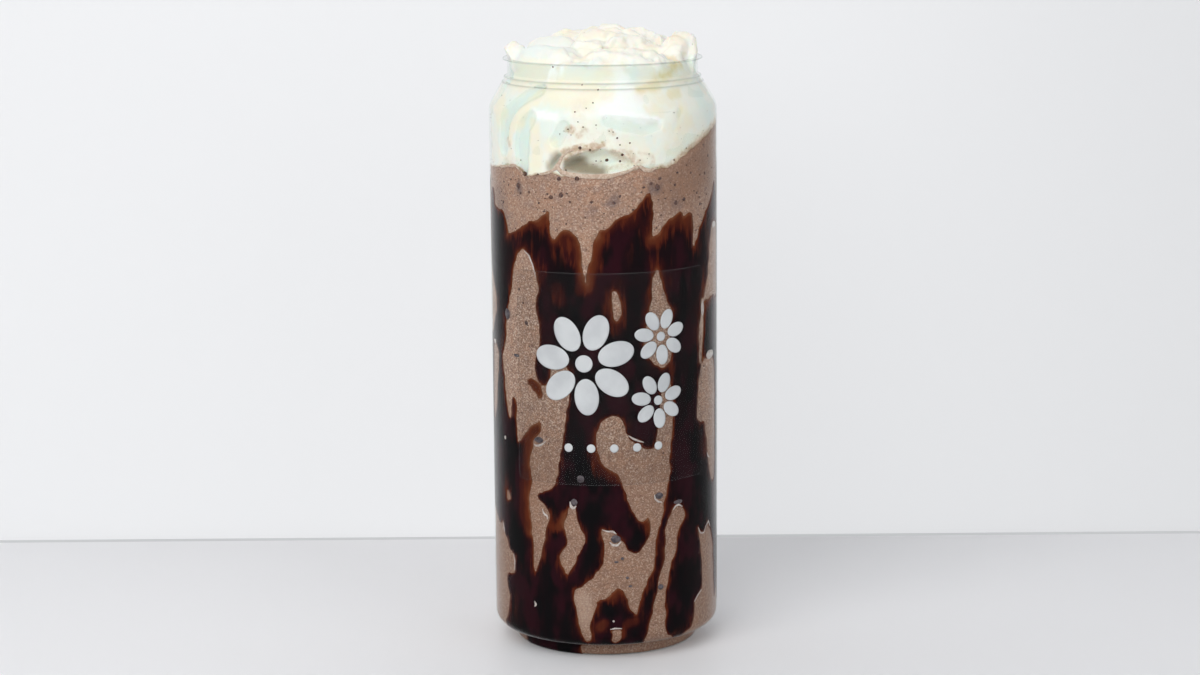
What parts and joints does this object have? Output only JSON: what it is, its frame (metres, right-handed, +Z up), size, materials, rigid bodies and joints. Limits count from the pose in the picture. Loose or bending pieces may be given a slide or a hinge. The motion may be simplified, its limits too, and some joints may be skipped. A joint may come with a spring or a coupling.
{
  "type": "frappe",
  "caption": "Tall clear drinks can, open at the top, filled with a chocolate frappe under folded whipped cream, with a clear film label on the front.",
  "frame": {"origin": "centre of the foot ring, in the plane that the can stands on", "axes": "+Z up the can; the label faces -Y; +X to the right of the label"},
  "size_m": [0.07, 0.0701, 0.1916],
  "materials": {
    "clear_can": "clear gloss PET",
    "clear_label": "clear satin film",
    "chocolate_drink": "smooth wet",
    "whipped_cream": "soft satin"
  },
  "bodies": {
    "root": {"can": "clear_can", "label": "clear_label", "frappe": "chocolate_drink", "cream": "whipped_cream"}
  },
  "joints": []
}
